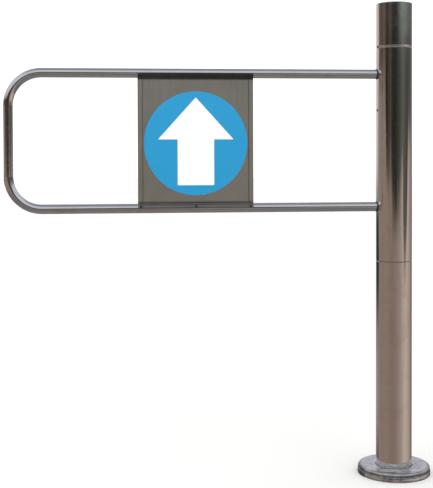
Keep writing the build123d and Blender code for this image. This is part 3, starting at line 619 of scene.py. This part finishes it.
# ---------------------------------------------------------------- camera
def place_camera():
    """The photograph's view: from the left of the sign, nearly level, with the frame shifted downward."""
    place = Vector((-592.1, -2134.8, 679.9)) * MM
    yaw, pitch, roll = 0.0984, 0.0240, -0.0033
    forward = Vector((sin(yaw) * cos(pitch), cos(yaw) * cos(pitch), -sin(pitch)))
    level = Vector((cos(yaw), -sin(yaw), 0))
    upright = level.cross(forward)
    right = level * cos(roll) + upright * sin(roll)
    up = upright * cos(roll) - level * sin(roll)
    data = bpy.data.cameras.new("camera")
    data.lens = 75.31
    data.sensor_width = 36.0
    data.shift_y = -0.129
    data.clip_start = 0.05
    made = bpy.data.objects.new("camera", data)
    scene.collection.objects.link(made)
    turn = Matrix((right, up, -forward)).transposed()
    made.matrix_world = Matrix.Translation(place) @ turn.to_4x4()
    scene.camera = made


place_camera()


# ---------------------------------------------------------------- floor, light and reflected room
def make_floor():
    """A pale floor that catches soft shade and that the steel doesn't reflect."""
    pale, paler = (0.80, 0.80, 0.79), (0.84, 0.84, 0.83)
    bpy.ops.mesh.primitive_plane_add(size=60)
    floor = bpy.context.object
    floor.name = "floor"
    made, g, shader = material("pale_floor")
    g.link(g.mix(g.noise(g.coords(), 3.0), pale, paler), shader["Base Color"])
    shader["Roughness"].default_value = 0.9
    shader["Specular IOR Level"].default_value = 0.1
    floor.data.materials.append(made)
    floor.visible_glossy = False


def make_world():
    """A plain white studio, except that glossy rays see a painted room with a tan floor and dark walls."""
    camera_bearing, eye_line = 254.5, 2.6
    lowest_foot, highest_foot = -10.0, 5.0
    room_strength, studio_strength = 1.3, 1.28
    world = bpy.data.worlds.new("studio")
    scene.world = world
    world.use_nodes = True
    g = Graph(world.node_tree)
    out = g.node("ShaderNodeOutputWorld")
    direction = g.node("ShaderNodeTexCoord").outputs["Generated"]
    # bearings run from 0 to 1, and 0.5 is the way from the post to the camera, which is the way
    # that the middle of the post reflects; the ramps' stops are in degrees to either side of it
    turned = g.node("ShaderNodeVectorRotate", rotation_type="Z_AXIS")
    g.link(direction, turned.inputs["Vector"])
    turned.inputs["Angle"].default_value = -radians(camera_bearing)
    tx, ty, tz = g.split(turned.outputs["Vector"])
    bearing = g.math("ADD", g.math("DIVIDE", g.math("ARCTAN2", ty, tx), 2 * pi), 0.5)
    # heights are in degrees, from a line a little above the horizon
    height = g.math("SUBTRACT", g.math("MULTIPLY", g.math("ARCSINE", tz), 180 / pi), eye_line)

    def at(degrees, *colour):
        return 0.5 + degrees / 360, srgb(*colour)

    def grey(degrees, value):
        return 0.5 + degrees / 360, (value,) * 3

    walls = g.ramp(bearing, [
        at(-180, 205, 198, 196), at(-125, 190, 179, 176), at(-108, 100, 86, 80), at(-89, 74, 56, 48),
        at(-72, 88, 74, 65), at(-56, 76, 64, 55), at(-48, 24, 16, 10), at(-36, 58, 49, 43),
        at(-22, 68, 61, 56), at(-9, 36, 33, 29), at(10, 34, 35, 29), at(35, 58, 61, 55),
        at(58, 84, 86, 80), at(72, 78, 77, 73), at(90, 62, 60, 58), at(108, 70, 69, 68),
        at(130, 82, 81, 81), at(152, 122, 120, 119), at(180, 160, 157, 157),
    ])
    ground = g.ramp(bearing, [
        at(-180, 160, 150, 145), at(-118, 140, 126, 118), at(-89, 128, 114, 106), at(-50, 134, 116, 104),
        at(-12, 124, 108, 98), at(10, 128, 112, 104), at(40, 146, 131, 122), at(74, 182, 165, 153),
        at(104, 166, 152, 144), at(130, 132, 121, 117), at(150, 108, 99, 95), at(180, 130, 122, 118),
    ])

    def level(degrees, value):
        return grey(degrees, (value - lowest_foot) / (highest_foot - lowest_foot))

    # height of the walls' foot
    foot = g.remap(g.ramp(bearing, [
        level(-180, -4), level(-125, -4), level(-108, 1.5), level(-60, 2), level(-50, -3.2),
        level(-33, -4.1), level(-23, -2.6), level(-8, -5.6), level(12, -5.9), level(35, -5.2),
        level(56, -3.1), level(61, -5.6), level(68, -9.0), level(78, -8.8), level(88, -6.6),
        level(97, -3.2), level(104, -1.2), level(150, -1.4),
    ]), 0.0, 1.0, lowest_foot, highest_foot)
    wobble = g.remap(g.noise(turned.outputs["Vector"], 14.0, 3.0, 0.6), 0.3, 0.7, -0.7, 0.7)
    above = g.math("ADD", g.math("SUBTRACT", height, foot), wobble)
    room = g.mix(g.remap(above, -1.6, 1.4, smooth=True), ground, walls)
    # a paler, greener wall on the right, which the cap reflects
    pale = g.ramp(bearing, [grey(20, 0), grey(48, 0.5), grey(80, 0.5), grey(120, 0.1)])
    room = g.mix(g.math("MULTIPLY", pale, g.remap(height, 3.5, 4.6, smooth=True)), room, srgb(142, 154, 150))
    # far to the left, a dark skirting that the post reflects below the lower rail, and a dark mat
    # that it reflects near its foot
    side = g.ramp(bearing, [grey(-158, 0.35), grey(-138, 1), grey(-118, 1), grey(-105, 0)])
    skirting = g.math("MULTIPLY", g.remap(height, -4.8, -6.0, smooth=True),
                      g.remap(height, -14.0, -9.0, smooth=True))
    mat = g.math("MULTIPLY", g.remap(height, -17.2, -18.8, smooth=True), 0.6)
    room = g.mix(g.math("MULTIPLY", side, g.math("MAXIMUM", skirting, mat)), room, srgb(46, 41, 38))
    near_floor = g.ramp(g.remap(height, -90.0, -26.0), [
        (0.0, srgb(120, 118, 117)), (0.6, srgb(108, 107, 107)), (1.0, srgb(92, 94, 95)),
    ])
    room = g.mix(g.remap(height, -19.8, -31.0, smooth=True), room, near_floor)
    # a bright ceiling that dulls towards straight up, and dulls lower down on the far side
    near_sky = g.ramp(g.remap(height, 10.0, 90.0), [
        (0.0, srgb(146, 149, 154)), (0.1, srgb(182, 185, 192)), (0.48, srgb(186, 189, 197)),
        (0.72, srgb(126, 131, 139)), (1.0, srgb(118, 123, 131)),
    ])
    far_sky = g.ramp(g.remap(height, 10.0, 90.0), [
        (0.0, srgb(186, 190, 198)), (0.22, srgb(178, 182, 192)), (0.4, srgb(130, 136, 144)),
        (1.0, srgb(118, 123, 131)),
    ])
    away = g.remap(g.math("ABSOLUTE", g.math("SUBTRACT", bearing, 0.5)), 0.28, 0.40, smooth=True)
    room = g.mix(g.remap(height, 7.0, 13.0, smooth=True), room, g.mix(away, near_sky, far_sky))
    reflected = g.node("ShaderNodeBackground")
    g.link(room, reflected.inputs["Color"])
    reflected.inputs["Strength"].default_value = room_strength
    white = g.node("ShaderNodeBackground")
    white.inputs["Color"].default_value = (1.0, 1.0, 1.0, 1.0)
    white.inputs["Strength"].default_value = studio_strength
    switch = g.node("ShaderNodeMixShader")
    g.link(g.node("ShaderNodeLightPath").outputs["Is Glossy Ray"], switch.inputs[0])
    g.link(white.outputs[0], switch.inputs[1])
    g.link(reflected.outputs[0], switch.inputs[2])
    g.link(switch.outputs[0], out.inputs["Surface"])


make_floor()
make_world()
scene.view_settings.view_transform = "Standard"
